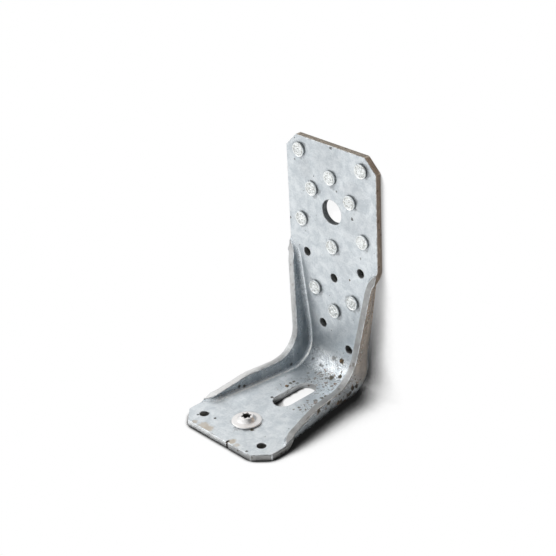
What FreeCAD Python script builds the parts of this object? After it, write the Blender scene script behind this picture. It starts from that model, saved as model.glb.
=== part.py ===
import FreeCAD, Part
import math
import os

# Reinforced angle bracket: one folded sheet with two waisted side flanges, its nails and its screw.
# Millimetres. The wall leg's back lies on y = 0, the base leg's underside on z = 0, and the base leg
# runs towards -y. The bracket is symmetric about x = 0.

# Sheet
plate_width = 65.0
wall_height = 140.0
base_length = 93.0
sheet_thickness = 4.0
heel_radius = 18.0
wall_corner_cut = 7.6
base_corner_cut = 8.0

# Side flanges, folded forwards along a line that is narrowest at the heel
waist_width = 49.4
fold_radius = 6.5
wall_flare_start = 24.0
wall_flare_radius = 40.0
wall_flange_end = 70.0
base_flare_start = 20.0
base_flare_radius = 60.0
base_knee = 45.0
base_knee_width = 55.8
base_knee_radius = 60.0
base_flange_end = 69.0
flange_end_gap = 0.9
run_out_radius = 5.0
run_out_angle = 56.0
run_out_length = 8.5
run_out_step = 0.05

# Rim of the flanges, as distances in front of the wall leg's back and above the base leg's underside
wall_rim = 15.0
wall_rim_end = 8.3
wall_rim_drop = 4.5
base_rim = 11.6
base_rim_level = 48.0
base_rim_end = 7.2
base_rim_drop = 0.5
rim_corner_radius = 18.0
rim_bend_radius = 6.0

# Holes
nail_hole_diameter = 5.0
row_count = 12
top_row_margin = 8.0
lowest_row_height = 21.2
outer_column = 22.5
inner_column = 20.0
middle_column = 14.0
stagger = 9.6
bolt_hole_diameter = 14.0
bolt_row = 3
base_hole_spacing = 45.0
base_hole_margin = 10.0
slot_width = 11.5
slot_heel_margin = 23.0
slot_screw_margin = 21.3

# Small nick in the tip's edge
nick_offset = 6.5
nick_width = 1.3
nick_depth = 1.2

# Nails
nail_length = 40.0
nail_diameter = 4.0
nail_head_diameter = 8.0
nail_head_thickness = 1.5
nail_point_length = 5.0

# Screw
screw_margin = 20.4
screw_length = 60.0
screw_diameter = 7.0
screw_hole_clearance = 1.0
screw_point_length = 9.0
washer_diameter = 16.4
washer_thickness = 1.3
cone_base_diameter = 10.6
cone_top_diameter = 7.2
cone_height = 2.3
recess_diameter = 6.0
recess_root_diameter = 4.3
recess_lobe_angle = 18.0
recess_depth = 2.6

# Holes of the wall leg: steps of the row pitch down from the top row, and the place across the sheet
nailed_holes = [
    (0, -outer_column), (0, outer_column), (1, 0.0), (2, -middle_column), (2, middle_column),
    (4, -outer_column), (4, outer_column), (5, 0.0), (7.9, -middle_column), (7.9, middle_column), (8.9, 0.0),
]
open_holes = [(5.95, -inner_column), (5.95, inner_column), (6.9, 0.0), (10, -stagger), (11, stagger)]

half_width = plate_width / 2
half_waist = waist_width / 2
clear = 1.0
tolerance = 0.01
across = FreeCAD.Vector(1, 0, 0)
up = FreeCAD.Vector(0, 0, 1)
forward = FreeCAD.Vector(0, -1, 0)


def rounded_outline(corners):
    """Closed wire through (point, radius) corners, each rounded by a tangent arc of its radius."""
    arcs = []
    count = len(corners)
    for i in range(count):
        point, radius = corners[i]
        before = (corners[i - 1][0] - point).normalize()
        after = (corners[(i + 1) % count][0] - point).normalize()
        half_angle = before.getAngle(after) / 2
        reach = radius / math.tan(half_angle)
        inward = (before + after).normalize()
        middle = point + inward * (radius / math.sin(half_angle) - radius)
        arcs.append((point + before * reach, middle, point + after * reach))
    edges = []
    for i in range(count):
        start, middle, end = arcs[i]
        if corners[i][1] > 0:
            edges.append(Part.Arc(start, middle, end).toShape())
        following = arcs[(i + 1) % count][0]
        if (following - end).Length > tolerance:
            edges.append(Part.LineSegment(end, following).toShape())
    return Part.Wire(edges)


def leg_prism(along, into, length, flare, flange_end, inset):
    """One leg as a deep prism: its waisted plan, drawn in by inset, mitred at 45 degrees at the heel."""
    reach = 2 * fold_radius
    run_out = reach / math.tan(math.radians(run_out_angle))
    side = [(half_waist, 0.0, 0.0)] + flare + [
        (half_width - flange_end_gap, flange_end, run_out_radius),
        (half_width + reach, flange_end + run_out, reach),
        (half_width + reach, length + 2 * reach, 0.0),
    ]
    corners = [(across * x + along * s, r) for x, s, r in side]
    corners += [(across * -x + along * s, r) for x, s, r in reversed(side)]
    outline = rounded_outline(corners)
    if inset:
        outline = outline.makeOffset2D(-inset)
    depth = max(wall_rim, base_rim) + rim_corner_radius * (1 - math.sqrt(0.5))
    prism = Part.Face(outline).extrude(into * depth)
    prism.translate(into * inset)
    start = (along + into) * -clear - across * plate_width
    mitre = [start, start + (along + into) * 2 * length, start + along * 2 * length, start]
    return prism.common(Part.Face(Part.makePolygon(mitre)).extrude(across * 2 * plate_width))


def folded_block(inset):
    """The L-shaped block inside the sheet's outer surface, drawn in by inset, with its folds rounded."""
    wall_flare = [(half_waist, wall_flare_start, wall_flare_radius)]
    base_flare = [
        (half_waist, base_flare_start, base_flare_radius),
        (base_knee_width / 2, base_knee, base_knee_radius),
    ]
    wall = leg_prism(up, forward, wall_height, wall_flare, wall_flange_end, inset)
    base = leg_prism(forward, up, base_length, base_flare, base_flange_end, inset)
    block = wall.fuse(base).removeSplitter()
    radius = heel_radius - inset
    near = inset + tolerance
    heel = [e for e in block.Edges if e.BoundBox.YMin > -near and e.BoundBox.ZMax < near]
    block = block.makeFillet(radius, heel)
    folds = []
    for edge in block.Edges:
        box = edge.BoundBox
        on_back = box.YMin > -near
        on_underside = box.ZMax < near
        on_heel = edge.Curve.TypeId == "Part::GeomCircle" and abs(edge.Curve.Radius - radius) < tolerance
        one_side = box.XMin > 0 or box.XMax < 0
        if one_side and (on_back or on_underside or on_heel):
            folds.append(edge)
    return block.makeFillet(fold_radius - inset, folds)


def rim_prism():
    """What is kept of the folded sheet: its plain edges and the flanges' flowing rim, seen from the side."""
    flush = sheet_thickness + run_out_step
    front = sheet_thickness + clear
    wall_off = wall_flange_end + run_out_length
    base_off = base_flange_end + run_out_length
    outline = [
        (-clear, wall_height, 0.0),
        (front, wall_height, 0.0),
        (front, wall_off, 0.0),
        (flush, wall_off, 0.0),
        (wall_rim_end, wall_flange_end - wall_rim_drop, rim_bend_radius),
        (wall_rim, base_rim, rim_corner_radius),
        (base_rim_level, base_rim, base_rim_level / 2),
        (base_flange_end - base_rim_drop, base_rim_end, rim_bend_radius),
        (base_off, flush, 0.0),
        (base_off, front, 0.0),
        (base_length, front, 0.0),
        (base_length, -clear, 0.0),
        (-clear, -clear, 0.0),
    ]
    corners = [(forward * d + up * h - across * half_width, r) for d, h, r in outline]
    return Part.Face(rounded_outline(corners)).extrude(across * plate_width)


def row_height(row):
    pitch = (wall_height - top_row_margin - lowest_row_height) / (row_count - 1)
    return wall_height - top_row_margin - pitch * row


def corner_cut(corner, along, inward, size, into):
    """Triangular prism that takes a 45 degree cut off one corner of a leg."""
    start = corner - into * clear
    points = [start, start + along * size, start + inward * size, start]
    outer = Part.Face(Part.makePolygon(points))
    return outer.extrude(into * (sheet_thickness + 2 * clear))


def build_bracket():
    sheet = folded_block(0.0).cut(folded_block(sheet_thickness)).common(rim_prism())
    cuts = []
    through = sheet_thickness + 2 * clear
    for side in (-1, 1):
        top = FreeCAD.Vector(side * half_width, 0, wall_height)
        tip = FreeCAD.Vector(side * half_width, -base_length, 0)
        cuts.append(corner_cut(top, across * -side, up * -1, wall_corner_cut, forward))
        cuts.append(corner_cut(tip, across * -side, forward * -1, base_corner_cut, up))
        hole = FreeCAD.Vector(side * base_hole_spacing / 2, base_hole_margin - base_length, -clear)
        cuts.append(Part.makeCylinder(nail_hole_diameter / 2, through, hole, up))
    for row, x in nailed_holes + open_holes:
        hole = FreeCAD.Vector(x, clear, row_height(row))
        cuts.append(Part.makeCylinder(nail_hole_diameter / 2, through, hole, forward))
    bolt = FreeCAD.Vector(0, clear, row_height(bolt_row))
    cuts.append(Part.makeCylinder(bolt_hole_diameter / 2, through, bolt, forward))
    screw = FreeCAD.Vector(0, screw_margin - base_length, -clear)
    cuts.append(Part.makeCylinder((screw_diameter + screw_hole_clearance) / 2, through, screw, up))
    slot_end = base_length - screw_margin - slot_screw_margin
    half_slot = slot_width / 2
    slot = []
    for x, s in [(1, slot_heel_margin), (1, slot_end), (-1, slot_end), (-1, slot_heel_margin)]:
        slot.append((FreeCAD.Vector(x * half_slot, -s, -clear), half_slot))
    cuts.append(Part.Face(rounded_outline(slot)).extrude(up * through))
    nick = [(-nick_width / 2, 0), (nick_width / 2, 0), (0, nick_depth), (-nick_width / 2, 0)]
    nick_points = [FreeCAD.Vector(nick_offset + x, s - base_length, -clear) for x, s in nick]
    cuts.append(Part.Face(Part.makePolygon(nick_points)).extrude(up * through))
    return sheet.cut(cuts).removeSplitter()


def turned(profile):
    """Solid of revolution about z from (radius, height) points."""
    points = [FreeCAD.Vector(r, 0, h) for r, h in profile]
    return Part.Face(Part.makePolygon(points + points[:1])).revolve(FreeCAD.Vector(), up, 360)


def polar(radius, degrees, height):
    """Point at a radius and an angle about z."""
    angle = math.radians(degrees)
    return FreeCAD.Vector(radius * math.cos(angle), radius * math.sin(angle), height)


def flat_sided_point(radius, top, bottom, sides):
    """Point with flat sides, from an outline inside the shank's circle down to one vertex."""
    corners = [polar(radius, 360 * i / sides, top) for i in range(sides)]
    outline = Part.makePolygon(corners + corners[:1])
    return Part.makeLoft([outline, Part.Vertex(0, 0, bottom)], True)


def make_nail():
    """Nail along z: flat round head above z = 0, plain shank and a four-sided point."""
    head = nail_head_diameter / 2
    shank = nail_diameter / 2
    point_top = nail_point_length - nail_length
    blank = turned([
        (0, nail_head_thickness),
        (head, nail_head_thickness),
        (head, 0),
        (shank, 0),
        (shank, point_top),
        (0, point_top),
    ])
    return blank.fuse(flat_sided_point(shank, point_top, -nail_length, 4)).removeSplitter()


def build_nails():
    nails = []
    for row, x in nailed_holes:
        nail = make_nail()
        nail.rotate(FreeCAD.Vector(), across, 90)
        nail.translate(FreeCAD.Vector(x, -sheet_thickness, row_height(row)))
        nails.append(nail)
    return Part.makeCompound(nails)


def build_screw():
    """Washer-head screw: wide flange, short cone with a six-lobe recess, plain shank and six-sided point."""
    washer = washer_diameter / 2
    shank = screw_diameter / 2
    top = washer_thickness + cone_height
    point_top = screw_point_length - screw_length
    screw = turned([
        (0, top),
        (cone_top_diameter / 2, top),
        (cone_base_diameter / 2, washer_thickness),
        (washer, washer_thickness),
        (washer, 0),
        (shank, 0),
        (shank, point_top),
        (0, point_top),
    ])
    screw = screw.fuse(flat_sided_point(shank, point_top, -screw_length, 6)).removeSplitter()
    lobe = recess_diameter / 2
    root = recess_root_diameter / 2
    corners = []
    for i in range(6):
        for radius, turn in [(lobe, -recess_lobe_angle / 2), (lobe, recess_lobe_angle / 2), (root, 30.0)]:
            corners.append(polar(radius, 60 * i + turn, top - recess_depth))
    recess = Part.Face(Part.makePolygon(corners + corners[:1])).extrude(up * (recess_depth + clear))
    screw = screw.cut(recess)
    screw.translate(FreeCAD.Vector(0, screw_margin - base_length, sheet_thickness))
    return screw


os.makedirs("parts", exist_ok=True)
build_bracket().exportStep("parts/angle_bracket.step")
build_nails().exportStep("parts/connector_nails.step")
build_screw().exportStep("parts/washer_head_screw.step")
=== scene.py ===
"""The looks of a galvanised angle bracket, its eleven nails and its washer-head screw.

Lengths are in metres, and MM turns millimetres into them. Patterns and marks are in millimetres.
"""

import math

import bmesh
import bpy
import numpy as np
from mathutils import Matrix, Vector
from mathutils.bvhtree import BVHTree


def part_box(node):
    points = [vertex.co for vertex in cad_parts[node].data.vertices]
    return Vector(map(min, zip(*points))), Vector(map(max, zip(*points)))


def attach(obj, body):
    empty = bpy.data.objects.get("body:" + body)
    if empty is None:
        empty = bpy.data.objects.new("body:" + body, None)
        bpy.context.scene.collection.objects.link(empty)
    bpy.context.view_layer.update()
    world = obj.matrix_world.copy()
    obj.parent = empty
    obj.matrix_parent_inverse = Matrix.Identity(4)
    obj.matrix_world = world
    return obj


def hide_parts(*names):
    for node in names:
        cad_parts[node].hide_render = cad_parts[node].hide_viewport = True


bl_info = {
    "name": "Angle bracket looks",
    "version": (1, 0, 0),
    "blender": (4, 5, 0),
    "location": "3D View > Sidebar > Bracket",
    "description": "Dresses an angle bracket, its nails and its screw, and sets up a plain studio",
    "category": "Object",
}

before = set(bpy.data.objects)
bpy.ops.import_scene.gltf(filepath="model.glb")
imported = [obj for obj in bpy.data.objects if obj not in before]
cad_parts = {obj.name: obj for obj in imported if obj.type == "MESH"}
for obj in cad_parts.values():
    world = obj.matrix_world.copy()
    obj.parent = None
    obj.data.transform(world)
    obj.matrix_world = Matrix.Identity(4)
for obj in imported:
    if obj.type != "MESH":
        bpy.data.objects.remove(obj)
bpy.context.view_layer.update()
MM = 0.001
WHITE = (1.0, 1.0, 1.0)
BLACK = (0.0, 0.0, 0.0)
COLOUR = {"subtype": "COLOR", "min": 0.0, "max": 1.0}

# Camera, taken from the photograph's viewing angle
VIEW_AZIMUTH = 47.76
VIEW_ELEVATION = 27.94
VIEW_ROLL = -3.14
VIEW_DISTANCE = 821.66 * MM
VIEW_ACROSS = -36.06 * MM
VIEW_UP = 53.8 * MM
VIEW_LENS = 94.62

# Direction in which the key light shines
KEY_WAY = (0.5, 0.3, -0.81)

# Marks on the sheet: each has x, y, z and a radius in millimetres, and a strength
RUST_MARKS = (
    (5.2, -5.0, 12.7, 1.6, 1.0), (8.6, -10.3, 6.3, 1.3, 0.9), (4.3, -12.7, 5.0, 1.6, 0.8),
    (1.8, -14.3, 4.5, 0.9, 0.6), (4.6, -17.7, 4.0, 0.9, 0.6), (9.3, -15.1, 4.3, 0.8, 0.6),
    (9.3, -17.9, 4.0, 1.0, 0.6), (13.8, -29.9, 4.0, 1.2, 0.7), (14.0, -27.2, 4.0, 1.1, 0.7),
    (13.1, -34.0, 4.0, 1.3, 0.6), (14.8, -35.7, 4.0, 1.2, 0.6), (9.8, -36.9, 4.0, 0.8, 0.6),
    (11.2, -44.8, 4.0, 0.8, 0.7), (10.4, -47.9, 4.0, 0.7, 0.6), (-9.3, -34.0, 4.0, 1.2, 0.9),
    (-9.8, -30.7, 4.0, 1.0, 0.8), (-9.7, -28.3, 4.0, 0.9, 0.8), (-7.0, -28.1, 4.0, 0.8, 0.7),
    (-10.0, -16.9, 4.0, 0.9, 0.5), (-6.7, -14.2, 4.6, 0.9, 0.5), (-0.9, -5.3, 12.2, 1.3, 0.5),
    (8.2, -76.3, 4.0, 1.0, 0.9), (28.1, -46.4, 10.0, 1.5, 0.9), (27.0, -37.7, 10.4, 1.7, 0.9),
    (25.9, -29.3, 6.1, 1.4, 0.8), (25.6, -27.1, 5.7, 1.3, 0.8), (12.0, -4.0, 65.4, 0.6, 0.8),
)
DARK_MARKS = (
    (24.7, -14.0, 8.7, 1.4, 0.9), (24.7, -17.0, 8.7, 1.4, 0.9), (24.8, -19.2, 6.8, 1.2, 0.8),
    (24.9, -21.3, 6.5, 1.1, 0.7), (23.3, -14.6, 21.9, 1.1, 0.8), (21.4, -15.1, 20.9, 0.9, 0.7),
    (-7.4, -9.4, 7.0, 0.9, 0.7), (-5.9, -9.4, 7.0, 0.7, 0.6), (-14.4, -8.3, 7.9, 0.8, 0.6),
    (-20.8, -19.3, 6.5, 1.0, 0.7), (-24.7, -51.6, 5.7, 0.9, 0.9), (-25.4, -54.8, 6.8, 1.0, 0.8),
    (-27.2, -66.8, 7.3, 0.7, 0.7), (-14.7, -82.2, 4.0, 0.8, 1.0), (-24.2, -86.0, 4.0, 0.8, 0.7),
    (-7.0, -47.5, 4.0, 0.9, 0.8), (20.5, -91.6, 4.0, 0.7, 0.8), (15.1, -4.0, 102.5, 0.9, 0.7),
    (4.1, -4.0, 115.3, 0.6, 0.6), (20.5, -4.0, 81.3, 0.7, 0.4), (1.0, -4.0, 138.9, 1.0, 0.6),
    (-26.4, -4.0, 125.2, 0.6, 0.5), (-32.3, -4.0, 89.1, 1.0, 0.8), (28.2, -8.3, 47.0, 0.8, 0.6),
)
EDGE_MARKS = (
    (9.1, -0.7, 140.0, 1.0, 0.8), (32.5, -3.3, 123.6, 0.9, 0.8), (32.5, -2.8, 106.1, 0.9, 0.8),
    (32.4, -85.1, 3.9, 1.0, 0.8), (24.9, -92.6, 2.7, 1.0, 0.7), (23.3, -14.6, 21.9, 1.1, 0.8),
    (21.4, -15.1, 20.9, 0.9, 0.7), (-26.5, -10.0, 51.7, 1.0, 0.6), (29.0, -54.7, 10.2, 1.2, 0.7),
    (23.4, -26.3, 12.2, 0.9, 0.7),
)
STAINS = (
    (-14.0, -91.0, 4.0, 2.5, 0.8), (-10.6, -91.6, 4.0, 2.7, 0.9), (8.2, -91.0, 4.0, 1.8, 0.9),
    (12.5, -91.4, 4.0, 1.4, 0.6), (-20.4, -92.2, 4.0, 1.5, 0.8),
)
CRACK = (
    (6.5, -91.8, 4.0, 0.8, 1.0), (6.5, -92.6, 3.4, 0.9, 1.0), (6.5, -92.6, 2.0, 0.9, 1.0),
    (6.5, -92.6, 0.8, 0.9, 1.0),
)
SMUDGES = (
    (-2.0, -4.0, 131.0, 7.0, 0.5), (-18.0, -4.0, 121.0, 3.6, 0.6), (17.0, -4.0, 116.0, 6.0, 0.5),
    (13.0, -4.0, 98.0, 5.0, 0.5), (24.0, -4.0, 100.0, 6.0, 0.4), (-6.0, -4.0, 92.0, 5.0, 0.35),
    (8.0, -4.0, 74.0, 6.0, 0.3),
)
DIRTY_PLACES = (
    (11.0, -20.0, 4.0, 17.0, 1.0), (26.0, -30.0, 8.0, 20.0, 1.0), (-8.0, -33.0, 4.0, 9.0, 0.8),
)
# Painted shade in a ring round the washer's foot: x, y, z, radius and strength
WASHER_SHADOW = (0.6, -73.2, 4.0, 7.9, 1.0)
# Thickness of the sheet, in millimetres
SHEET = 4.0
# Open nail holes in millimetres: across and up on the upright leg, across and along on the lying leg
UPRIGHT_HOLES = ((-20.0, 72.07), (20.0, 72.07), (0.0, 62.5), (-9.6, 31.27), (9.6, 21.2))
LYING_HOLES = ((-22.5, -83.0), (22.5, -83.0))
HOLE_RADIUS = 2.5 * MM

# Height of the floor and place of the backdrop along y, both just inside the sheet
FLOOR_LEVEL = 0.3 * MM
STAGE_REAR = -0.4 * MM
# Where the stage is seen through the slot and through the bolt hole: middle and radius
SLOT_SPOTS = tuple(((1.8 * MM, y * MM, FLOOR_LEVEL), 7.5 * MM) for y in (-24, -29, -34, -39))
BOLT_SPOTS = (((-3 * MM, STAGE_REAR, 100 * MM), 9 * MM),)

# Head of the screw: height, depth of the recess, and the outline of cone, washer and neck.
# Each point of the outline is a radius and a height above the washer's underside, in millimetres.
HEAD_HEIGHT = 3.6 * MM
RECESS_DEPTH = 2.6 * MM
HEAD_PROFILE = (
    (3.35, 3.6), (3.55, 3.56), (3.66, 3.42), (3.8, 3.2), (4.6, 2.0), (5.1, 1.45), (5.5, 1.3),
    (6.2, 1.22), (7.0, 1.12), (7.7, 1.02), (8.0, 0.94), (8.17, 0.78), (8.2, 0.55), (8.17, 0.26),
    (8.0, 0.06), (7.6, 0.0), (4.2, 0.0), (3.7, -0.1), (3.3, -0.6), (2.7, -1.4),
)


class BracketLooks(bpy.types.PropertyGroup):
    """Finish of the folded sheet"""

    zinc_pale: bpy.props.FloatVectorProperty(
        name="Pale zinc",
        description="Colour of the bright clouds of the zinc coat",
        default=(0.76, 0.80, 0.825),
        **COLOUR,
    )
    zinc_deep: bpy.props.FloatVectorProperty(
        name="Deep zinc",
        description="Colour between the bright clouds",
        default=(0.55, 0.60, 0.635),
        **COLOUR,
    )
    edge_colour: bpy.props.FloatVectorProperty(
        name="Sheared edge",
        description="Colour of the sheared edges and the hole walls",
        default=(0.56, 0.575, 0.58),
        **COLOUR,
    )
    rust_colour: bpy.props.FloatVectorProperty(
        name="Rust",
        description="Colour of the rust specks",
        default=(0.2, 0.1, 0.035),
        **COLOUR,
    )
    edge_rounding: bpy.props.FloatProperty(
        name="Edge rounding",
        description="Width of the rounding along the sheared edges",
        unit="LENGTH",
        default=0.35 * MM,
        min=0.0,
    )


class NailLooks(bpy.types.PropertyGroup):
    """Form and finish of the nails"""

    stamp_count: bpy.props.IntProperty(
        name="Stamped strokes",
        description="Number of short raised strokes on a head",
        default=11,
        min=1,
        max=30,
    )
    stamp_depth: bpy.props.FloatProperty(
        name="Stamp depth",
        description="Height of the strokes above the pressed field of a head",
        unit="LENGTH",
        default=0.3 * MM,
        min=0.01 * MM,
    )
    ring_pitch: bpy.props.FloatProperty(
        name="Ring pitch",
        description="Distance between the rings rolled into a shank",
        unit="LENGTH",
        default=1.3 * MM,
        min=0.3 * MM,
    )
    zinc: bpy.props.FloatVectorProperty(
        name="Nail zinc",
        description="Colour of the nails' zinc coat",
        default=(0.97, 1.0, 1.0),
        **COLOUR,
    )


class ScrewLooks(bpy.types.PropertyGroup):
    """Form and finish of the screw"""

    thread_pitch: bpy.props.FloatProperty(
        name="Thread pitch",
        description="Rise of the thread in one turn",
        unit="LENGTH",
        default=3.2 * MM,
        min=0.5 * MM,
    )
    thread_depth: bpy.props.FloatProperty(
        name="Thread depth",
        description="Height of the thread above its core",
        unit="LENGTH",
        default=1.0 * MM,
        min=0.1 * MM,
    )
    zinc: bpy.props.FloatVectorProperty(
        name="Screw zinc",
        description="Colour of the screw's zinc coat",
        default=(0.90, 0.885, 0.875),
        **COLOUR,
    )


class StageLooks(bpy.types.PropertyGroup):
    """Floor and light of the studio"""

    floor_colour: bpy.props.FloatVectorProperty(
        name="Floor",
        description="Colour of the floor",
        default=WHITE,
        **COLOUR,
    )
    key_strength: bpy.props.FloatProperty(
        name="Key light",
        description="Strength of the soft key light",
        default=3.1,
        min=0.0,
    )
    sky_strength: bpy.props.FloatProperty(
        name="Sky light",
        description="Strength of the even light from all around",
        default=0.22,
        min=0.0,
    )


# Node helpers


def feed(tree, socket, value):
    """Links an output to a socket, or sets the socket's own value. A plain colour gets its alpha here."""
    if isinstance(value, bpy.types.NodeSocket):
        tree.links.new(value, socket)
    elif socket.type == "RGBA":
        socket.default_value = (*value, 1.0)
    else:
        socket.default_value = value


def feed_all(tree, node, inputs):
    """Feeds the inputs of a node that are given by name or by number."""
    for key, value in inputs.items():
        feed(tree, node.inputs[key], value)


def put(tree, kind, inputs=None, **options):
    """Adds a node, sets its options and feeds its inputs. Returns its outputs."""
    node = tree.nodes.new(kind)
    for name, value in options.items():
        setattr(node, name, value)
    feed_all(tree, node, inputs or {})
    return node.outputs


def arithmetic(kind):
    """A function that joins values by one kind of arithmetic step after another."""

    def join(tree, *values):
        total = values[0]
        for value in values[1:]:
            total = put(tree, "ShaderNodeMath", {0: total, 1: value}, operation=kind)[0]
        return total

    return join


plus, less, times, most = map(arithmetic, ("ADD", "SUBTRACT", "MULTIPLY", "MAXIMUM"))
divided, below, power = map(arithmetic, ("DIVIDE", "LESS_THAN", "POWER"))


def rise(tree, value, low, high):
    """A smooth rise from 0 at low to 1 at high."""
    inputs = {"Value": value, "From Min": low, "From Max": high}
    return put(tree, "ShaderNodeMapRange", inputs, interpolation_type="SMOOTHSTEP")[0]


def fall(tree, value, low, high):
    """A smooth fall from 1 at low to 0 at high."""
    return less(tree, 1.0, rise(tree, value, low, high))


def mix_of(tree, share, first, second):
    """The first colour at share 0 and the second at share 1."""
    return put(tree, "ShaderNodeMix", {0: share, 6: first, 7: second}, data_type="RGBA")[2]


def tinted(tree, colour, *tints):
    """Lays tints over a colour, one after another: each is a mask, its strength and a colour."""
    for mask, strength, tint in tints:
        colour = mix_of(tree, times(tree, mask, strength), colour, tint)
    return colour


def noise_of(tree, where, size, detail=4.0, roughness=0.55, bend=0.0):
    """Cloudy noise whose blots are about size millimetres across."""
    inputs = {"Vector": where, "Scale": 1.0 / size, "Detail": detail}
    inputs |= {"Roughness": roughness, "Distortion": bend}
    return put(tree, "ShaderNodeTexNoise", inputs)[0]


def stretched(tree, where, scale, turn=(0.0, 0.0, 0.0)):
    """Squeezed and turned coordinates, on which a noise becomes streaks."""
    inputs = {"Vector": where, "Rotation": turn, "Scale": scale}
    return put(tree, "ShaderNodeMapping", inputs)[0]


def in_cells(tree, where, size):
    """Coordinates counted in cells of a size."""
    return put(tree, "ShaderNodeVectorMath", {0: where, 1: size}, operation="DIVIDE")[0]


def distance_of(tree, first, second):
    """The distance between two places."""
    return put(tree, "ShaderNodeVectorMath", {0: first, 1: second}, operation="DISTANCE")["Value"]


def metres(tree):
    """The piece's own coordinates, in metres."""
    return put(tree, "ShaderNodeTexCoord")["Object"]


def millimetres(tree):
    """The piece's own coordinates, in millimetres."""
    inputs = {0: metres(tree), "Scale": 1.0 / MM}
    return put(tree, "ShaderNodeVectorMath", inputs, operation="SCALE")[0]


def parts_of(tree, where):
    """The x, y and z of coordinates."""
    return put(tree, "ShaderNodeSeparateXYZ", {"Vector": where})


def note_of(tree, name):
    """What the mesh notes under a name."""
    return put(tree, "ShaderNodeAttribute", attribute_name=name)["Fac"]


def bump_of(tree, relief, distance):
    """The normal of a relief that is given in shares of a distance."""
    return put(tree, "ShaderNodeBump", {"Height": relief, "Distance": distance})[0]


def deeper(colour, factor):
    """A colour darkened by a factor."""
    return tuple(factor * part for part in colour)


def new_group(name, inputs, outputs):
    """An empty node group with named sockets. Returns the tree, its inputs and its output node."""
    tree = bpy.data.node_groups.new(name, "ShaderNodeTree")
    for way, sockets in (("INPUT", inputs), ("OUTPUT", outputs)):
        for label, kind in sockets.items():
            tree.interface.new_socket(label, in_out=way, socket_type="NodeSocket" + kind)
    return tree, tree.nodes.new("NodeGroupInput").outputs, tree.nodes.new("NodeGroupOutput")


def material_from(name, recipe, *values, one_sided=False):
    """A material whose Principled shader is fed by a recipe, and which can be see-through from behind."""
    material = bpy.data.materials.new(name)
    material.use_nodes = True
    tree = material.node_tree
    tree.nodes.clear()
    shader = tree.nodes.new("ShaderNodeBsdfPrincipled")
    feed_all(tree, shader, recipe(tree, *values))
    surface = shader.outputs[0]
    if one_sided:
        behind = put(tree, "ShaderNodeNewGeometry")["Backfacing"]
        clear = put(tree, "ShaderNodeBsdfTransparent")[0]
        surface = put(tree, "ShaderNodeMixShader", {0: behind, 1: surface, 2: clear})[0]
    put(tree, "ShaderNodeOutputMaterial", {"Surface": surface})
    return material


# Shared effects


def zinc_coat_group():
    """Clouds of a zinc coat: broad soft blots, finer mottle and a grain, as colour, roughness and relief."""
    inputs = {"Where": "Vector", "Cloud size": "Float", "Pale": "Color", "Deep": "Color"}
    inputs |= {"Dull": "Float", "Spread": "Float"}
    outputs = {"Colour": "Color", "Roughness": "Float", "Relief": "Float"}
    tree, given, out = new_group("zinc_coat", inputs, outputs)
    where = in_cells(tree, given["Where"], given["Cloud size"])
    broad = noise_of(tree, where, 1.0, 5.0, 0.6, 0.4)
    fine = noise_of(tree, where, 0.2, 4.0, 0.65)
    grain = noise_of(tree, where, 0.04, 2.0, 0.6)
    cloudy = rise(tree, plus(tree, times(tree, broad, 0.62), times(tree, fine, 0.38)), 0.36, 0.64)
    swing = times(tree, less(tree, fine, 0.5), given["Spread"])
    results = {
        "Colour": mix_of(tree, cloudy, given["Deep"], given["Pale"]),
        "Roughness": plus(tree, given["Dull"], swing),
        "Relief": plus(tree, fine, times(tree, grain, 0.35)),
    }
    feed_all(tree, out, results)
    return tree


def specks_group():
    """Small round specks: the ragged middles of scattered cells, in a chance share of the cells."""
    inputs = {"Where": "Vector", "Pitch": "Float", "Radius": "Float", "Share": "Float"}
    tree, given, out = new_group("specks", inputs, {"Mask": "Float"})
    where = in_cells(tree, given["Where"], given["Pitch"])
    cell = put(tree, "ShaderNodeTexVoronoi", {"Vector": where, "Scale": 1.0})
    chance = put(tree, "ShaderNodeSeparateColor", {"Color": cell["Color"]})[0]
    kept = below(tree, chance, given["Share"])
    ragged = noise_of(tree, given["Where"], 0.5, 2.0)
    reach = times(tree, given["Radius"], plus(tree, ragged, 0.5))
    inside = rise(tree, less(tree, reach, cell["Distance"]), 0.0, 0.06)
    feed_all(tree, out, {"Mask": times(tree, inside, kept)})
    return tree


def scratches_group():
    """Fine scratches: noise stretched along two crossed directions, cut to thin lines."""
    tree, given, out = new_group("scratches", {"Where": "Vector"}, {"Mask": "Float"})
    lines = []
    for turn, squeeze in ((0.45, (1.6, 1.6, 0.035)), (-0.7, (0.04, 1.7, 1.4))):
        where = stretched(tree, given["Where"], squeeze, (turn, 0.6 * turn, turn))
        lines.append(rise(tree, noise_of(tree, where, 1.0, 1.0, 0.4), 0.70, 0.76))
    feed_all(tree, out, {"Mask": most(tree, *lines)})
    return tree


def mark_group():
    """One mark: full to most of its radius, then falling to 0 over a ragged rim of a given softness."""
    inputs = {"Where": "Vector", "Centre": "Vector"}
    inputs |= {name: "Float" for name in ("Radius", "Strength", "Ragged", "Rim")}
    tree, given, out = new_group("mark", inputs, {"Mask": "Float"})
    full = 0.8
    share = divided(tree, distance_of(tree, given["Where"], given["Centre"]), given["Radius"])
    mask = fall(tree, plus(tree, share, given["Ragged"]), full, plus(tree, given["Rim"], full))
    feed_all(tree, out, {"Mask": times(tree, mask, given["Strength"])})
    return tree


EFFECTS = {
    "zinc_coat": zinc_coat_group,
    "specks": specks_group,
    "scratches": scratches_group,
    "mark": mark_group,
}


def use_group(tree, name, inputs):
    """Places a shared effect, made on first use, with this material's values. Returns its outputs."""
    group = bpy.data.node_groups.get(name) or EFFECTS[name]()
    return put(tree, "ShaderNodeGroup", inputs, node_tree=group)


def zinc_coat(tree, where, size, pale, deep, dull, spread):
    """The zinc coat with clouds of a size, two colours, a roughness and the roughness's spread."""
    inputs = {"Where": where, "Cloud size": size, "Pale": pale, "Deep": deep, "Dull": dull, "Spread": spread}
    return use_group(tree, "zinc_coat", inputs)


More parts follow.
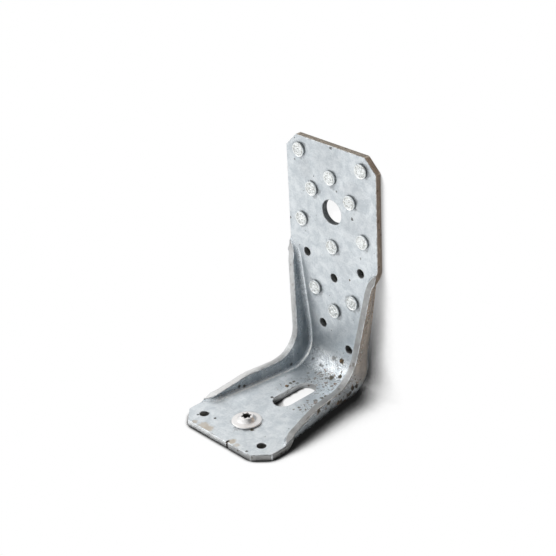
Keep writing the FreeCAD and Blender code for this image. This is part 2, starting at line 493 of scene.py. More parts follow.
def specks_of(tree, where, pitch, radius, share):
    """Specks with a pitch, a radius in shares of it, and the share of cells that have one."""
    inputs = {"Where": where, "Pitch": pitch, "Radius": radius, "Share": share}
    return use_group(tree, "specks", inputs)["Mask"]


def marks_of(tree, where, marks, grain=0.8, rim=0.3):
    """The strongest of a list of marks at each point. Their rims are ragged by a noise of size grain."""
    ragged = times(tree, less(tree, noise_of(tree, where, grain, 4.0, 0.65), 0.5), 2.4)
    masks = []
    for *centre, radius, strength in marks:
        inputs = {"Where": where, "Centre": centre, "Radius": radius, "Strength": strength}
        inputs |= {"Ragged": ragged, "Rim": rim}
        masks.append(use_group(tree, "mark", inputs)["Mask"])
    return most(tree, *masks)


# Materials: each recipe returns what the shader's sockets are fed with


def galvanised_sheet(tree, looks):
    """Zinc-coated sheet: clouded pale grey, fine scratches, dark specks, rust where the sheet is bent,
    painted shade on the flange faces, a painted highlight along the creases and painted shadow by the nail
    heads and the washer.
    """
    where = millimetres(tree)
    across, along, height = parts_of(tree, where)
    coat = zinc_coat(tree, where, 5.0, looks.zinc_pale, looks.zinc_deep, dull=0.35, spread=0.16)
    flange_shade, bent, crease = (note_of(tree, name) for name in ("flange_shade", "bent", "crease"))
    # Scuffed beside the left fold of the lying leg
    scuffed = rise(tree, along, -70.0, -62.0)
    for value, low, high in ((across, -18.0, -11.0), (along, -30.0, -18.0), (height, 4.7, 5.6)):
        scuffed = times(tree, scuffed, fall(tree, value, low, high))
    # Rust blooms of two sizes in the dirty places, beside the single marks
    dirty = marks_of(tree, where, DIRTY_PLACES, grain=12.0)
    blooms = []
    for size, lift in ((1.7, 0.17), (0.9, 0.15)):
        spots = plus(tree, noise_of(tree, where, size, 3.0, 0.6, 0.6), times(tree, dirty, lift))
        blooms.append(rise(tree, spots, 0.75, 0.8))
    rust = most(tree, marks_of(tree, where, RUST_MARKS), *blooms)
    rust_tone = rise(tree, noise_of(tree, where, 2.6, 1.0), 0.36, 0.5)
    rust_colour = mix_of(tree, rust_tone, looks.rust_colour, (0.06, 0.05, 0.03))
    specks = specks_of(tree, where, pitch=4.3, radius=0.1, share=0.3)
    dark = most(tree, marks_of(tree, where, DARK_MARKS + CRACK), specks)
    blemish = most(tree, rust, dark)
    scratch = use_group(tree, "scratches", {"Where": where})["Mask"]
    smudge = marks_of(tree, where, SMUDGES, grain=4.0, rim=1.2)
    # Painted shadow on the right of and below each nail head, and painted shade in a ring round the washer
    shadow_below_heads = ((x / MM + 0.3, -SHEET, z / MM - 0.6, 4.6, 1.0) for x, z in nail_places()[0])
    head_shadow = marks_of(tree, where, (*shadow_below_heads, WASHER_SHADOW), grain=6.0, rim=0.4)
    stain = marks_of(tree, where, STAINS, grain=1.6, rim=0.8)
    # Painted shade on the flange faces: full on the inner faces, half on the outer ones, streaked
    streak = noise_of(tree, stretched(tree, where, (1.0, 0.5, 0.06)), 1.6, 3.0)
    streak = rise(tree, streak, 0.35, 0.65)
    flange_shade_depth = plus(tree, 0.61, times(tree, streak, 0.18))
    # Painted highlight: a ragged near-white line along the creases of the folds
    rubbed_and_highlight = times(tree, crease, rise(tree, noise_of(tree, where, 1.6, 4.0, 0.7), 0.34, 0.5))
    colour = tinted(
        tree,
        coat["Colour"],
        (scratch, 0.25, (0.86, 0.88, 0.9)),
        (smudge, 0.35, (0.36, 0.38, 0.4)),
        (head_shadow, 0.5, (0.16, 0.17, 0.18)),
        (flange_shade, flange_shade_depth, (0.095, 0.12, 0.145)),
        (rubbed_and_highlight, 1.0, (1.0, 0.99, 0.96)),
        (stain, 0.72, (0.48, 0.38, 0.26)),
        (dark, 1.2, (0.035, 0.032, 0.028)),
        (rust, 1.2, rust_colour),
    )
    rough = plus(tree, coat["Roughness"], times(tree, blemish, 0.3))
    bare = plus(tree, 0.74, times(tree, rubbed_and_highlight, 0.24))
    waves = noise_of(tree, where, 5.0, 2.0)
    ragged = times(tree, bent, noise_of(tree, where, 1.0, 3.0, 0.6), 2.4)
    relief = plus(tree, times(tree, coat["Relief"], 0.25), waves, ragged)
    return {
        "Base Color": colour,
        "Roughness": less(tree, rough, times(tree, bent, 0.12)),
        "Metallic": less(tree, bare, times(tree, most(tree, blemish, scuffed), 0.6)),
        "Normal": bump_of(tree, less(tree, relief, times(tree, scratch, 0.1)), 0.16 * MM),
    }


def sheared_edge(tree, looks):
    """Cut edge of the sheet: grey, with shear lines and dark pits, painted light on the left flange's edges
    and painted shade on the right side's edges.
    """
    where = millimetres(tree)
    across, _, height = parts_of(tree, where)
    deep = deeper(looks.edge_colour, 0.66)
    coat = zinc_coat(tree, where, 4.0, looks.edge_colour, deep, dull=0.42, spread=0.2)
    # Shear lines run along the edge: level low down, upright above the heel
    squeezes = ((0.07, 0.07, 1.0), (0.07, 1.0, 0.07))
    layers = [noise_of(tree, stretched(tree, where, squeeze), 1.1, 3.0) for squeeze in squeezes]
    line = rise(tree, mix_of(tree, rise(tree, height, 12.0, 16.0), *layers), 0.4, 0.6)
    pits = specks_of(tree, where, pitch=3.6, radius=0.2, share=0.3)
    # Painted light: the left flange's cut edges paler, less so higher up
    left_edge_light = less(tree, 0.75, times(tree, rise(tree, height, 20.0, 50.0), 0.45))
    colour = tinted(
        tree,
        coat["Colour"],
        (line, 0.45, (0.3, 0.3, 0.3)),
        (most(tree, marks_of(tree, where, EDGE_MARKS + CRACK), pits), 0.8, (0.1, 0.08, 0.06)),
        (fall(tree, across, -27.0, -23.0), left_edge_light, (0.86, 0.86, 0.85)),
        # Painted shade on the cut edges of the right side
        (rise(tree, across, 20.0, 24.0), 0.42, (0.22, 0.21, 0.2)),
    )
    return {
        "Base Color": colour,
        "Roughness": coat["Roughness"],
        "Metallic": 0.85,
        "Normal": bump_of(tree, less(tree, coat["Relief"], times(tree, pits, 0.8)), 0.14 * MM),
    }


def worn_corner(tree, looks):
    """Rounded corner along a cut edge: paler where the zinc is worn and darker where dirt sticks."""
    where = millimetres(tree)
    rubbed_and_highlight = rise(tree, noise_of(tree, where, 3.2, 4.0, 0.7), 0.36, 0.62)
    colour = mix_of(tree, rubbed_and_highlight, deeper(looks.edge_colour, 0.6), deeper(looks.zinc_pale, 0.92))
    return {
        "Base Color": mix_of(tree, marks_of(tree, where, CRACK), colour, (0.05, 0.035, 0.025)),
        "Roughness": 0.42,
        "Metallic": 0.85,
        "Normal": bump_of(tree, noise_of(tree, where, 0.8, 3.0, 0.6), 0.08 * MM),
    }


def nail_zinc(tree, looks):
    """Bright zinc of the nails, crinkled, with thin gold tints and painted shade on the head's side below
    the rim.
    """
    where = millimetres(tree)
    coat = zinc_coat(tree, where, 1.6, looks.zinc, deeper(looks.zinc, 0.84), dull=0.34, spread=0.25)
    gold = rise(tree, noise_of(tree, where, 0.7, 2.0), 0.61, 0.67)
    flaked = rise(tree, noise_of(tree, where, 1.1, 2.0), 0.44, 0.58)
    colour = tinted(
        tree,
        coat["Colour"],
        (gold, 0.5, (0.38, 0.33, 0.22)),
        (times(tree, note_of(tree, "groove"), flaked), 0.7, (0.36, 0.37, 0.35)),
        # Painted shade on the head's side wall
        (note_of(tree, "side_shade"), 0.95, (0.05, 0.055, 0.06)),
    )
    return {
        "Base Color": colour,
        "Roughness": coat["Roughness"],
        "Metallic": 0.9,
        "Normal": bump_of(tree, coat["Relief"], 0.1 * MM),
    }


def screw_zinc(tree, looks):
    """Bright silver zinc of the screw, with a few dull blots and painted shade in the recess."""
    where = millimetres(tree)
    coat = zinc_coat(tree, where, 5.0, looks.zinc, deeper(looks.zinc, 0.92), dull=0.4, spread=0.04)
    low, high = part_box("washer_head_screw")
    mouth = ((low.x + high.x) / 2 / MM, (low.y + high.y) / 2 / MM, (high.z - RECESS_DEPTH) / MM)
    # Painted shade: the recess darkened almost to black
    inside = fall(tree, distance_of(tree, where, mouth), 2.8, 3.4)
    return {
        "Base Color": tinted(tree, coat["Colour"], (inside, 0.92, (0.03, 0.027, 0.025))),
        "Roughness": coat["Roughness"],
        "Metallic": 0.75,
    }


# Meshes


def add_object(name, data):
    """A new object at the origin, linked to the scene."""
    thing = bpy.data.objects.new(name, data)
    bpy.context.scene.collection.objects.link(thing)
    return thing


def mesh_from(name, points, faces):
    """A new object from an array of points and an array of four-cornered faces."""
    mesh = bpy.data.meshes.new(name)
    mesh.vertices.add(len(points))
    mesh.vertices.foreach_set("co", np.asarray(points, np.float32).ravel())
    mesh.loops.add(faces.size)
    mesh.loops.foreach_set("vertex_index", np.asarray(faces, np.int32).ravel())
    mesh.polygons.add(len(faces))
    mesh.polygons.foreach_set("loop_start", np.arange(0, faces.size, 4, dtype=np.int32))
    mesh.polygons.foreach_set("use_smooth", np.ones(len(faces), bool))
    mesh.update(calc_edges=True)
    mesh.validate()
    return add_object(name, mesh)


def read_rows(items, name, width, kind=np.float32):
    """One property of all items of a mesh, as an array with a row for each."""
    values = np.zeros(len(items) * width, kind)
    items.foreach_get(name, values)
    return values.reshape(-1, width)


def write_notes(mesh, domain, notes):
    """Keeps named arrays on the mesh, for its materials to read."""
    for name, values in notes.items():
        note = mesh.attributes.new(name, "FLOAT", domain)
        note.data.foreach_set("value", np.asarray(values, np.float32).ravel())


def lowest_labels(count, first, second):
    """Labels of linked items: each item takes the lowest label among its links until none changes."""
    label = np.arange(count)
    while True:
        before = label.copy()
        low = np.minimum(label[first], label[second])
        np.minimum.at(label, first, low)
        np.minimum.at(label, second, low)
        label = label[label]
        if np.array_equal(before, label):
            return label


def merge_poles(thing):
    """Closes the poles of turned grids: points that lie on each other become one."""
    shape = bmesh.new()
    shape.from_mesh(thing.data)
    bmesh.ops.remove_doubles(shape, verts=shape.verts, dist=0.002 * MM)
    shape.to_mesh(thing.data)
    shape.free()


def turned_faces(rows, columns):
    """Faces of a grid of rows along a profile and columns round it, closed round."""
    row, column = np.meshgrid(np.arange(rows - 1), np.arange(columns), indexing="ij")
    after = (column + 1) % columns
    corners = ((row + 1) * columns + column, (row + 1) * columns + after)
    corners += (row * columns + after, row * columns + column)
    return np.stack(corners, -1).reshape(-1, 4)


def hump(value, middle, width):
    """A bell curve: 1 at the middle, falling off over the width."""
    return np.exp(-(((value - middle) / width) ** 2))


def mark_sheared(shape, deepest, sharp):
    """Gives the second material to the patches that are cut edges: there the metal behind a face is deep.

    A skin face has only the sheet's thickness behind it, and a sheared one the sheet's width.
    Faces that meet at less than the sharp angle are one patch, and most of its area decides.
    """
    tree = BVHTree.FromBMesh(shape)
    shape.faces.index_update()
    count = len(shape.faces)
    cut = np.zeros(count)
    area = np.zeros(count)
    for face in shape.faces:
        start = face.calc_center_median() - face.normal * (0.02 * MM)
        reach = tree.ray_cast(start, -face.normal)[3]
        cut[face.index] = reach is None or reach > deepest
        area[face.index] = face.calc_area()
    pairs = [edge.link_faces for edge in shape.edges if edge.calc_face_angle(math.pi) < sharp]
    first, second = np.array([(a.index, b.index) for a, b in pairs]).T
    label = lowest_labels(count, first, second)
    share = np.bincount(label, area * cut, count)[label] / np.bincount(label, area, count)[label]
    for face in shape.faces:
        face.material_index = int(share[face.index] > 0.5)


def note_shade_and_folds(mesh):
    """Notes on each corner how far its face takes painted flange shade, how far it is bent, and the inner
    creases.

    Flange shade is 0 on the flats, 1 where a face looks inwards across the sheet and half that where
    it looks outwards; the sheet's material paints shade there. Bent is 0 on the flats and 1 halfway
    round a bend, from the products of the normal's parts. Crease is 1 along a line partway round the
    folds, on the side that faces the front and the top, where the material paints a highlight. It fades
    where the flanges run out and above the heel.
    """
    normal = read_rows(mesh.corner_normals, "vector", 3)
    face = np.abs(read_rows(mesh.polygons, "normal", 3))
    sizes = read_rows(mesh.polygons, "loop_total", 1, np.int32)[:, 0]
    owner = read_rows(mesh.loops, "vertex_index", 1, np.int32)[:, 0]
    across, along, height = read_rows(mesh.vertices, "co", 3)[owner].T
    aside, ahead, upward = np.abs(normal).T
    straight = 0.9998
    curved = np.repeat(face.max(1) < straight, sizes)
    inwards = normal[:, 0] * across < 0
    sideways = np.clip((aside - 0.4) / 0.5, 0, 1) * np.repeat(face[:, 0] > 0.02, sizes)
    rolled = np.maximum(2 * aside * np.sqrt(np.clip(1 - aside**2, 0, 1)), 2 * ahead * upward)
    run_out, fading = 66 * MM, 8 * MM
    before_end = np.clip((run_out - height) / fading, 0, 1) * np.clip((run_out + along) / fading, 0, 1)
    lying = upward > ahead
    folded = hump(aside, np.where(lying, 0.5, 0.32), np.where(lying, 0.1, 0.17))
    folded *= (normal[:, 1] < 0.05) & (normal[:, 2] > -0.05)
    folded *= before_end * (1 - 0.75 * hump(height, 30 * MM, 13 * MM))
    notes = {
        "flange_shade": sideways * np.where(inwards, 1.0, 0.5),
        "bent": rolled * curved,
        "crease": folded * curved,
    }
    write_notes(mesh, "CORNER", notes)


def dressed_bracket(looks):
    """The sheet's solid, merged, its flats joined and its sheared edges rounded by a bevel."""
    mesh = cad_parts["angle_bracket"].data.copy()
    mesh.name = "folded_sheet"
    mesh.materials.clear()
    finishes = (galvanised_sheet, sheared_edge, worn_corner)
    for finish in finishes:
        mesh.materials.append(material_from(finish.__name__, finish, looks))
    merged, flat = 0.004 * MM, math.radians(0.6)
    shape = bmesh.new()
    shape.from_mesh(mesh)
    bmesh.ops.remove_doubles(shape, verts=shape.verts, dist=merged)
    bmesh.ops.dissolve_degenerate(shape, edges=shape.edges, dist=merged)
    shape.normal_update()
    mark_sheared(shape, deepest=4.6 * MM, sharp=math.radians(30))
    bmesh.ops.dissolve_limit(
        shape, angle_limit=flat, verts=shape.verts, edges=shape.edges, delimit={"MATERIAL"}
    )
    for face in shape.faces:
        face.smooth = True
    shape.to_mesh(mesh)
    shape.free()
    note_shade_and_folds(mesh)
    thing = add_object("folded_sheet", mesh)
    bevel = thing.modifiers.new("edge rounding", "BEVEL")
    bevel.width = looks.edge_rounding
    bevel.segments = 2
    bevel.limit_method = "ANGLE"
    bevel.angle_limit = math.radians(35)
    bevel.use_clamp_overlap = False
    bevel.material = finishes.index(worn_corner)
    even = thing.modifiers.new("even shading", "WEIGHTED_NORMAL")
    even.weight = 100
    return thing


def nail_places():
    """Axis of each nail: the middle of each cluster of points on the heads' front plane."""
    points = read_rows(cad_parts["connector_nails"].data.vertices, "co", 3).astype(float)
    front = points[:, 1].min()
    top = np.unique(np.round(points[points[:, 1] < front + 0.1 * MM][:, [0, 2]], 6), axis=0)
    gaps = np.linalg.norm(top[:, None] - top[None], axis=2)
    head_width = 8.2 * MM
    first, second = np.nonzero(gaps < head_width)
    label = lowest_labels(len(top), first, second)
    places = [(top[label == own].min(0) + top[label == own].max(0)) / 2 for own in np.unique(label)]
    return np.array(places), front, points[:, 1].max()


def stamped_strokes(count):
    """Seeded short strokes on a head: middle across and along, direction and half length, one row each."""
    chance = np.random.default_rng(5)
    turn = 2 * np.pi * (np.arange(count) + chance.uniform(0, 0.7, count)) / count
    reach = chance.uniform(0.7, 2.5, count) * MM
    lean = chance.uniform(0, np.pi, count)
    half = chance.uniform(0.35, 0.9, count) * MM
    return np.stack((reach * np.cos(turn), reach * np.sin(turn), lean, half), -1)


def nail_form(looks, turn, length):
    """One nail, its axis along z from the head's top at 0 down to the point.

    A profile of radius and depth is turned round the axis. The head's top is sunk inside its
    rim, except within a small distance of a few short strokes. The shank's radius follows a
    saw of rings, and over the last few millimetres it shrinks to a point with four flats.
    """
    columns = 64
    angle = np.linspace(0, 2 * np.pi, columns, endpoint=False)
    head, thick, shank, point = 4.0 * MM, 1.5 * MM, 2.0 * MM, 5.0 * MM
    soft, crown_height, ring_depth = 0.3 * MM, 0.12 * MM, 0.22 * MM
    lean = np.linspace(0, 0.5 * np.pi, 5)
    top_radius = np.linspace(0, head - soft, 26)
    rim_radius = head - soft + soft * np.sin(lean)
    rim_depth = soft * (1 - np.cos(lean))
    neck_radius = np.array([head - 0.05 * MM, head - 0.3 * MM, 2.45 * MM, 2.4 * MM, shank])
    neck_depth = np.array([thick - 0.05 * MM, thick, thick, thick + 0.2 * MM, thick + 3.6 * MM])
    start = thick + 4.0 * MM
    shank_depth = np.arange(start, length - point, looks.ring_pitch / 3)
    shank_radius = shank - ring_depth * np.mod((shank_depth - start) / looks.ring_pitch, 1.0)
    point_depth = np.linspace(length - point, length, 7)
    point_radius = shank * (length - point_depth) / point
    radius = np.concatenate((top_radius, rim_radius, neck_radius, shank_radius, point_radius))
    depth = np.concatenate((0 * top_radius, rim_depth, neck_depth, shank_depth, point_depth))
    square = 0.78 + 0.22 * np.abs(np.cos(2 * angle))
    pointed = np.clip((depth - (length - point)) / (0.3 * point), 0, 1)[:, None]
    round_radius = radius[:, None] * (1 - pointed * (1 - square[None]))
    x = round_radius * np.cos(angle)
    y = round_radius * np.sin(angle)
    u = x * np.cos(turn) + y * np.sin(turn)
    v = y * np.cos(turn) - x * np.sin(turn)
    middle_u, middle_v, way, half = stamped_strokes(looks.stamp_count).T
    off_u, off_v = u[..., None] - middle_u, v[..., None] - middle_v
    slide = np.clip(off_u * np.cos(way) + off_v * np.sin(way), -half, half)
    gap = np.hypot(off_u - slide * np.cos(way), off_v - slide * np.sin(way)).min(-1)
    raised = np.clip(1 - (gap - 0.16 * MM) / (0.24 * MM), 0, 1)
    on_top = (depth < 0.01 * MM)[:, None]
    field = np.clip((head - 0.35 * MM - radius) / (0.3 * MM), 0, 1)[:, None] * on_top
    sunk = field * (1 - raised)
    crown = crown_height * np.clip(1 - (radius / head) ** 2, 0, 1)[:, None] * on_top
    z = depth[:, None] + looks.stamp_depth * sunk - crown + crown_height * on_top
    # Painted shade on the head's side wall below its rim
    side_shade = np.clip((depth - 0.25 * MM) / (0.3 * MM), 0, 1) * (depth < thick + 0.3 * MM)
    return np.stack((x, y, z), -1), sunk, side_shade[:, None] + 0 * x


def dressed_nails(looks):
    """All the nails as one piece: each is turned about its own axis by a seeded angle."""
    places, front, back = nail_places()
    chance = np.random.default_rng(11)
    points, faces, count = [], [], 0
    notes = {"groove": [], "side_shade": []}
    for x, z in places:
        form, groove, side_shade = nail_form(looks, chance.uniform(0, np.pi), back - front)
        spin = chance.uniform(0, 2 * np.pi)
        across = form[..., 0] * np.cos(spin) - form[..., 1] * np.sin(spin)
        upward = form[..., 0] * np.sin(spin) + form[..., 1] * np.cos(spin)
        placed = np.stack((x + across, front + form[..., 2], z + upward), -1)
        rows, columns = across.shape
        points.append(placed.reshape(-1, 3))
        faces.append(turned_faces(rows, columns) + count)
        notes["groove"].append(groove)
        notes["side_shade"].append(side_shade)
        count += rows * columns
    thing = mesh_from("ring_nails", np.concatenate(points), np.concatenate(faces))
    write_notes(thing.data, "POINT", notes)
    merge_poles(thing)
    return thing


def screw_form(looks, low, high):
    """The screw, its axis along z, worked out about the axis at x 0, y 0.

    A profile of radius and height is turned round the axis. Inside the recess the radius
    swells and shrinks six times a turn. Below the washer the radius follows a ridge that
    climbs by one pitch in each turn, fading into the neck and into the point.
    """
    angle = np.linspace(0, 2 * np.pi, 72, endpoint=False)
    round_about = np.ones(len(angle))
    seat = high - HEAD_HEIGHT
    recess = high - RECESS_DEPTH
    lobes = 2.42 * MM + 0.5 * MM * np.cos(6 * angle)
    floor = np.linspace(0, 1, 5)[:, None] * lobes * 0.86
    wall = np.linspace(0.9, 1.0, 6)[:, None] * lobes
    wall_height = np.linspace(recess + 0.1 * MM, high - 0.12 * MM, 6)[:, None] * round_about
    mouth = lobes + np.array([0.06, 0.16])[:, None] * MM
    mouth_height = np.array([high - 0.04 * MM, high])[:, None] * round_about
    head_radius, head_height = (column[:, None] * MM * round_about for column in np.array(HEAD_PROFILE).T)
    depth = np.arange(seat - 1.6 * MM, low + 0.2 * MM, -0.22 * MM)[:, None] * round_about
    turn = np.mod(depth / looks.thread_pitch - angle / (2 * np.pi), 1.0)
    ridge = np.clip(1 - np.abs(turn - 0.5) / 0.24, 0, 1)
    fade = np.clip((seat - 4 * MM - depth) / (3 * MM), 0, 1)
    narrow = np.clip((depth - low) / (9 * MM), 0, 1)
    core = (3.5 * MM - looks.thread_depth) * narrow
    shank = core + looks.thread_depth * ridge * fade * np.sqrt(narrow)
    tip = 0 * round_about[None]
    radius = np.concatenate((floor, wall, mouth, head_radius, shank, tip))
    heights = (recess + 0 * floor, wall_height, mouth_height, seat + head_height, depth, tip + low)
    height = np.concatenate(heights)
    return np.stack((radius * np.cos(angle), radius * np.sin(angle), height), -1)


def dressed_screw(looks):
    """The screw as one piece, about the axis of its solid."""
    low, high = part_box("washer_head_screw")
    form = screw_form(looks, low.z, high.z)
    middle = np.array([(low.x + high.x) / 2, (low.y + high.y) / 2, 0.0])
    thing = mesh_from("washer_screw", (form + middle).reshape(-1, 3), turned_faces(*form.shape[:2]))
    merge_poles(thing)
    return thing


# Stage


def matt(tree, colour):
    """Recipe of a plain matt card."""
    return {"Base Color": colour, "Roughness": 0.9, "Specular IOR Level": 0.1}


def glow(tree, colour, strength=1.0):
    """Recipe of a card that gives off its own light."""
    finish = {"Base Color": BLACK, "Specular IOR Level": 0.0}
    return finish | {"Emission Color": colour, "Emission Strength": strength}


def contact_shade(tree, colour, pale_spots):
    """A stage colour that darkens where the part hides the key light, but not in pale spots.

    The shade is widest and deepest at the floor, and narrow and weak from 80 mm up. A thin
    line of shade lies all round the part's foot.
    """
    high_up = 80 * MM
    place = metres(tree)
    height = parts_of(tree, place)[2]
    span = {"Value": height, "From Max": high_up, "To Min": 40 * MM, "To Max": 8 * MM}
    reach = put(tree, "ShaderNodeMapRange", span)[0]
    lean = put(tree, "ShaderNodeCombineXYZ", dict(zip("XYZ", (-value for value in KEY_WAY))))[0]
    hidden = {"Distance": reach, "Normal": lean}
    share = put(tree, "ShaderNodeAmbientOcclusion", hidden, samples=16)["AO"]
    share = put(tree, "ShaderNodeMapRange", {"Value": share, "From Min": 0.4, "From Max": 0.72})[0]
    share = power(tree, share, 1.7)
    foot = put(tree, "ShaderNodeAmbientOcclusion", {"Distance": 4 * MM}, samples=16)["AO"]
    foot = most(tree, rise(tree, foot, 0.5, 0.85), rise(tree, height, 1 * MM, 12 * MM))
    share = times(tree, share, foot)
    for centre, radius in pale_spots:
        inside = fall(tree, distance_of(tree, place, centre), 0.75 * radius, radius)
        share = most(tree, share, times(tree, inside, 0.9))
    deep = mix_of(tree, rise(tree, height, 0.0, high_up), (0.01, 0.01, 0.01), (0.4, 0.4, 0.4))
    return mix_of(tree, share, deep, colour)


def pale_floor(tree, colour):
    """Recipe of the floor: pale and matt, darker close to the part. The camera sees its full colour."""
    camera = put(tree, "ShaderNodeLightPath")["Is Camera Ray"]
    shade = contact_shade(tree, colour, SLOT_SPOTS)
    seen = glow(tree, mix_of(tree, camera, BLACK, shade))
    return seen | {"Base Color": mix_of(tree, camera, shade, BLACK), "Roughness": 0.9}


def white_backdrop(tree, colour):
    """Recipe of the backdrop: the floor's colour to the camera, darker close to the part."""
    return glow(tree, contact_shade(tree, colour, BOLT_SPOTS))


def stage_piece(thing, recipe, *values):
    """Gives a stage piece its own material, see-through from behind."""
    thing.data.materials.append(material_from(thing.name, recipe, *values, one_sided=True))
    return thing


def plate(name, corners, recipe, *values):
    """One flat four-cornered stage piece."""
    thing = mesh_from(name, np.array(corners), np.array([[0, 1, 2, 3]]))
    return stage_piece(thing, recipe, *values)


def card(name, corners, recipe, *values):
    """A studio card that only the metal shows."""
    thing = plate(name, corners, recipe, *values)
    thing.visible_camera = False
    thing.visible_diffuse = False
    thing.visible_shadow = False
    return thing


def upright_corners(left, right, foot, top):
    """Corners of an upright card behind the part that faces the front."""
    rear = STAGE_REAR
    return ((left, rear, foot), (right, rear, foot), (right, rear, top), (left, rear, top))


def level_corners(left, right, near, far, level):
    """Corners of a level card that faces up."""
    return ((left, near, level), (right, near, level), (right, far, level), (left, far, level))


def facing_corners(middle, toward, width, height):
    """Corners of a card about a middle point that faces another point."""
    ahead = (Vector(toward) - Vector(middle)).normalized()
    side = Vector((0.0, 0.0, 1.0)).cross(ahead).normalized()
    upward = ahead.cross(side)
    signs = ((-1, -1), (1, -1), (1, 1), (-1, 1))
    return [Vector(middle) + side * (width * a / 2) + upward * (height * b / 2) for a, b in signs]


def hole_shades(colour):
    """Dark discs deep in the open nail holes: rings of points round each hole's axis, all as one mesh."""
    columns = 32
    angle = np.linspace(0, 2 * np.pi, columns, endpoint=False)
    across, along = HOLE_RADIUS * np.cos(angle), HOLE_RADIUS * np.sin(angle)
    sunk = np.full(columns, 0.6 * MM)
    rings = [np.stack((x * MM + across, -sunk, z * MM + along), -1) for x, z in UPRIGHT_HOLES]
    rings += [np.stack((x * MM + across, y * MM + along, sunk), -1) for x, y in LYING_HOLES]
    points = np.concatenate(rings)
    faces = np.arange(len(points)).reshape(-1, columns)
    mesh = bpy.data.meshes.new("hole_shades")
    mesh.from_pydata(points.tolist(), [], faces.tolist())
    stage_piece(add_object("hole_shades", mesh), matt, colour)


def white_world(strength):
    """Even light from all around. The camera and the metal see it as white."""
    world = bpy.data.worlds.new("studio")
    bpy.context.scene.world = world
    world.use_nodes = True
    tree = world.node_tree
    tree.nodes.clear()
    path = put(tree, "ShaderNodeLightPath")
    seen = most(tree, *(path[f"Is {kind} Ray"] for kind in ("Camera", "Glossy", "Transmission")))
    level = put(tree, "ShaderNodeMapRange", {"Value": seen, "To Min": strength, "To Max": 1.0})[0]
    shine = put(tree, "ShaderNodeBackground", {"Color": WHITE, "Strength": level})[0]
    put(tree, "ShaderNodeOutputWorld", {"Surface": shine})


def soft_sun(strength, toward, spread):
    """A distant soft light that shines along a direction and isn't mirrored in the metal."""
    lamp = bpy.data.lights.new("key", "SUN")
    lamp.energy = strength
    lamp.angle = math.radians(spread)
    thing = add_object("key", lamp)
    thing.rotation_euler = Vector(toward).to_track_quat("-Z", "Y").to_euler()
    thing.visible_glossy = False


def set_camera():
    """The photograph's camera: a turn, a rise and a roll about a point beside the bracket."""
    turn, tilt, roll = (math.radians(a) for a in (VIEW_AZIMUTH, VIEW_ELEVATION, VIEW_ROLL))
    back = Vector((math.sin(turn) * math.cos(tilt), -math.cos(turn) * math.cos(tilt), math.sin(tilt)))
    right = Vector((math.cos(turn), math.sin(turn), 0.0))
    up = back.cross(right)
    level = right * math.cos(roll) + up * math.sin(roll)
    upright = up * math.cos(roll) - right * math.sin(roll)
    eye = level * VIEW_ACROSS + upright * VIEW_UP + back * VIEW_DISTANCE
    camera = add_object("camera", bpy.data.cameras.new("camera"))
    camera.data.sensor_width = 36.0
    camera.data.lens = VIEW_LENS
    camera.data.clip_start = 0.01
    camera.data.clip_end = 50.0
    camera.matrix_world = Matrix.Translation(eye) @ Matrix((level, upright, back)).transposed().to_4x4()
    bpy.context.scene.camera = camera


# Operators


def adopt(thing, node):
    """Ties a dressed piece to the fixed body, in place of its solid."""
    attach(thing, "root")
    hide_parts(node)


class DressBracket(bpy.types.Operator):
    """Builds the folded sheet with rounded edges and its zinc finish"""

    bl_idname = "bracket.dress_sheet"
    bl_label = "Folded sheet"

    def execute(self, context):
        thing = dressed_bracket(context.scene.bracket_looks)
        adopt(thing, "angle_bracket")
        return {"FINISHED"}


class DressNails(bpy.types.Operator):
    """Builds the eleven ring nails with stamped heads"""

    bl_idname = "bracket.dress_nails"
    bl_label = "Ring nails"

    def execute(self, context):
        looks = context.scene.nail_looks
        thing = dressed_nails(looks)
        thing.data.materials.append(material_from("nail_zinc", nail_zinc, looks))
        adopt(thing, "connector_nails")
        return {"FINISHED"}


class DressScrew(bpy.types.Operator):
    """Builds the washer-head screw with its recess and thread"""

    bl_idname = "bracket.dress_screw"
    bl_label = "Washer-head screw"

    def execute(self, context):
        looks = context.scene.screw_looks
        thing = dressed_screw(looks)
        thing.data.materials.append(material_from("screw_zinc", screw_zinc, looks))
        adopt(thing, "washer_head_screw")
        return {"FINISHED"}


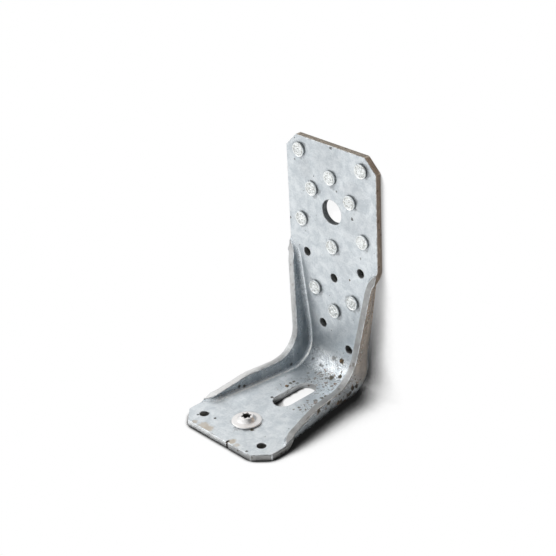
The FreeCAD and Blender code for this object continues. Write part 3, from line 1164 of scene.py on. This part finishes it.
class SetStage(bpy.types.Operator):
    """Lays the floor and backdrop and sets the lights and the camera"""

    bl_idname = "bracket.set_stage"
    bl_label = "Studio"

    def execute(self, context):
        looks = context.scene.stage_looks
        wide = 4.0
        ground = level_corners(-wide, wide, -wide, wide, FLOOR_LEVEL)
        plate("floor", ground, pale_floor, looks.floor_colour).visible_shadow = False
        behind = upright_corners(-wide, wide, 0.0, wide)
        backdrop = card("backdrop", behind, white_backdrop, looks.floor_colour)
        backdrop.visible_camera = True
        backdrop.visible_glossy = False
        flag = ((0.046, -0.045, 0.0), (0.046, -0.6, 0.0), (0.046, -0.6, 0.045), (0.046, -0.045, 0.045))
        strip = level_corners(-0.04, 0.005, -0.17, -0.096, 0.5 * MM)
        ceiling = level_corners(-0.25, 0.8, -0.2, 0.35, 0.6)[::-1]
        box = facing_corners((-0.78, -0.564, 0.708), (0.0, -0.02, 0.03), width=0.6, height=0.3)
        cards = (
            ("warm_card", upright_corners(0.026, 0.1, 0.0, 0.25), matt, (0.66, 0.46, 0.31)),
            ("warm_top_card", upright_corners(-0.1, 0.026, 0.139, 0.25), matt, (0.78, 0.63, 0.48)),
            ("grey_card", upright_corners(-0.031, 0.026, 0.0, 0.139), glow, (0.06, 0.065, 0.07)),
            ("low_card", upright_corners(-0.3, -0.034, 0.0, 0.042), glow, (0.88, 0.87, 0.86)),
            ("dark_flag", flag, glow, (0.02, 0.025, 0.03)),
            ("front_strip", strip, glow, WHITE, 2.6),
            ("ceiling", ceiling, glow, (0.24, 0.26, 0.28)),
            ("soft_box", box, glow, WHITE, 4.0),
        )
        for name, corners, *finish in cards:
            card(name, corners, *finish)
        hole_shades((0.05, 0.043, 0.03))
        white_world(looks.sky_strength)
        soft_sun(looks.key_strength, KEY_WAY, spread=55)
        set_camera()
        context.scene.view_settings.view_transform = "Standard"
        return {"FINISHED"}


class BracketPanel(bpy.types.Panel):
    """Lists the pieces and their looks"""

    bl_idname = "VIEW3D_PT_bracket_looks"
    bl_label = "Angle bracket"
    bl_space_type = "VIEW_3D"
    bl_region_type = "UI"
    bl_category = "Bracket"

    def draw(self, context):
        for operator, looks, group in PIECES:
            box = self.layout.box()
            for name in group.__annotations__:
                box.prop(getattr(context.scene, looks), name)
            box.operator(operator.bl_idname)


PIECES = (
    (DressBracket, "bracket_looks", BracketLooks),
    (DressNails, "nail_looks", NailLooks),
    (DressScrew, "screw_looks", ScrewLooks),
    (SetStage, "stage_looks", StageLooks),
)


def register():
    """Registers the classes and hangs each group of looks on the scene."""
    for operator, name, group in PIECES:
        bpy.utils.register_class(group)
        setattr(bpy.types.Scene, name, bpy.props.PointerProperty(type=group))
        bpy.utils.register_class(operator)
    bpy.utils.register_class(BracketPanel)


def unregister():
    """Takes back what register did."""
    bpy.utils.unregister_class(BracketPanel)
    for operator, name, group in reversed(PIECES):
        bpy.utils.unregister_class(operator)
        delattr(bpy.types.Scene, name)
        bpy.utils.unregister_class(group)


def main():
    """Builds every piece and the stage."""
    register()
    bpy.ops.bracket.dress_sheet()
    bpy.ops.bracket.dress_nails()
    bpy.ops.bracket.dress_screw()
    bpy.ops.bracket.set_stage()


if __name__ == "__main__":
    main()
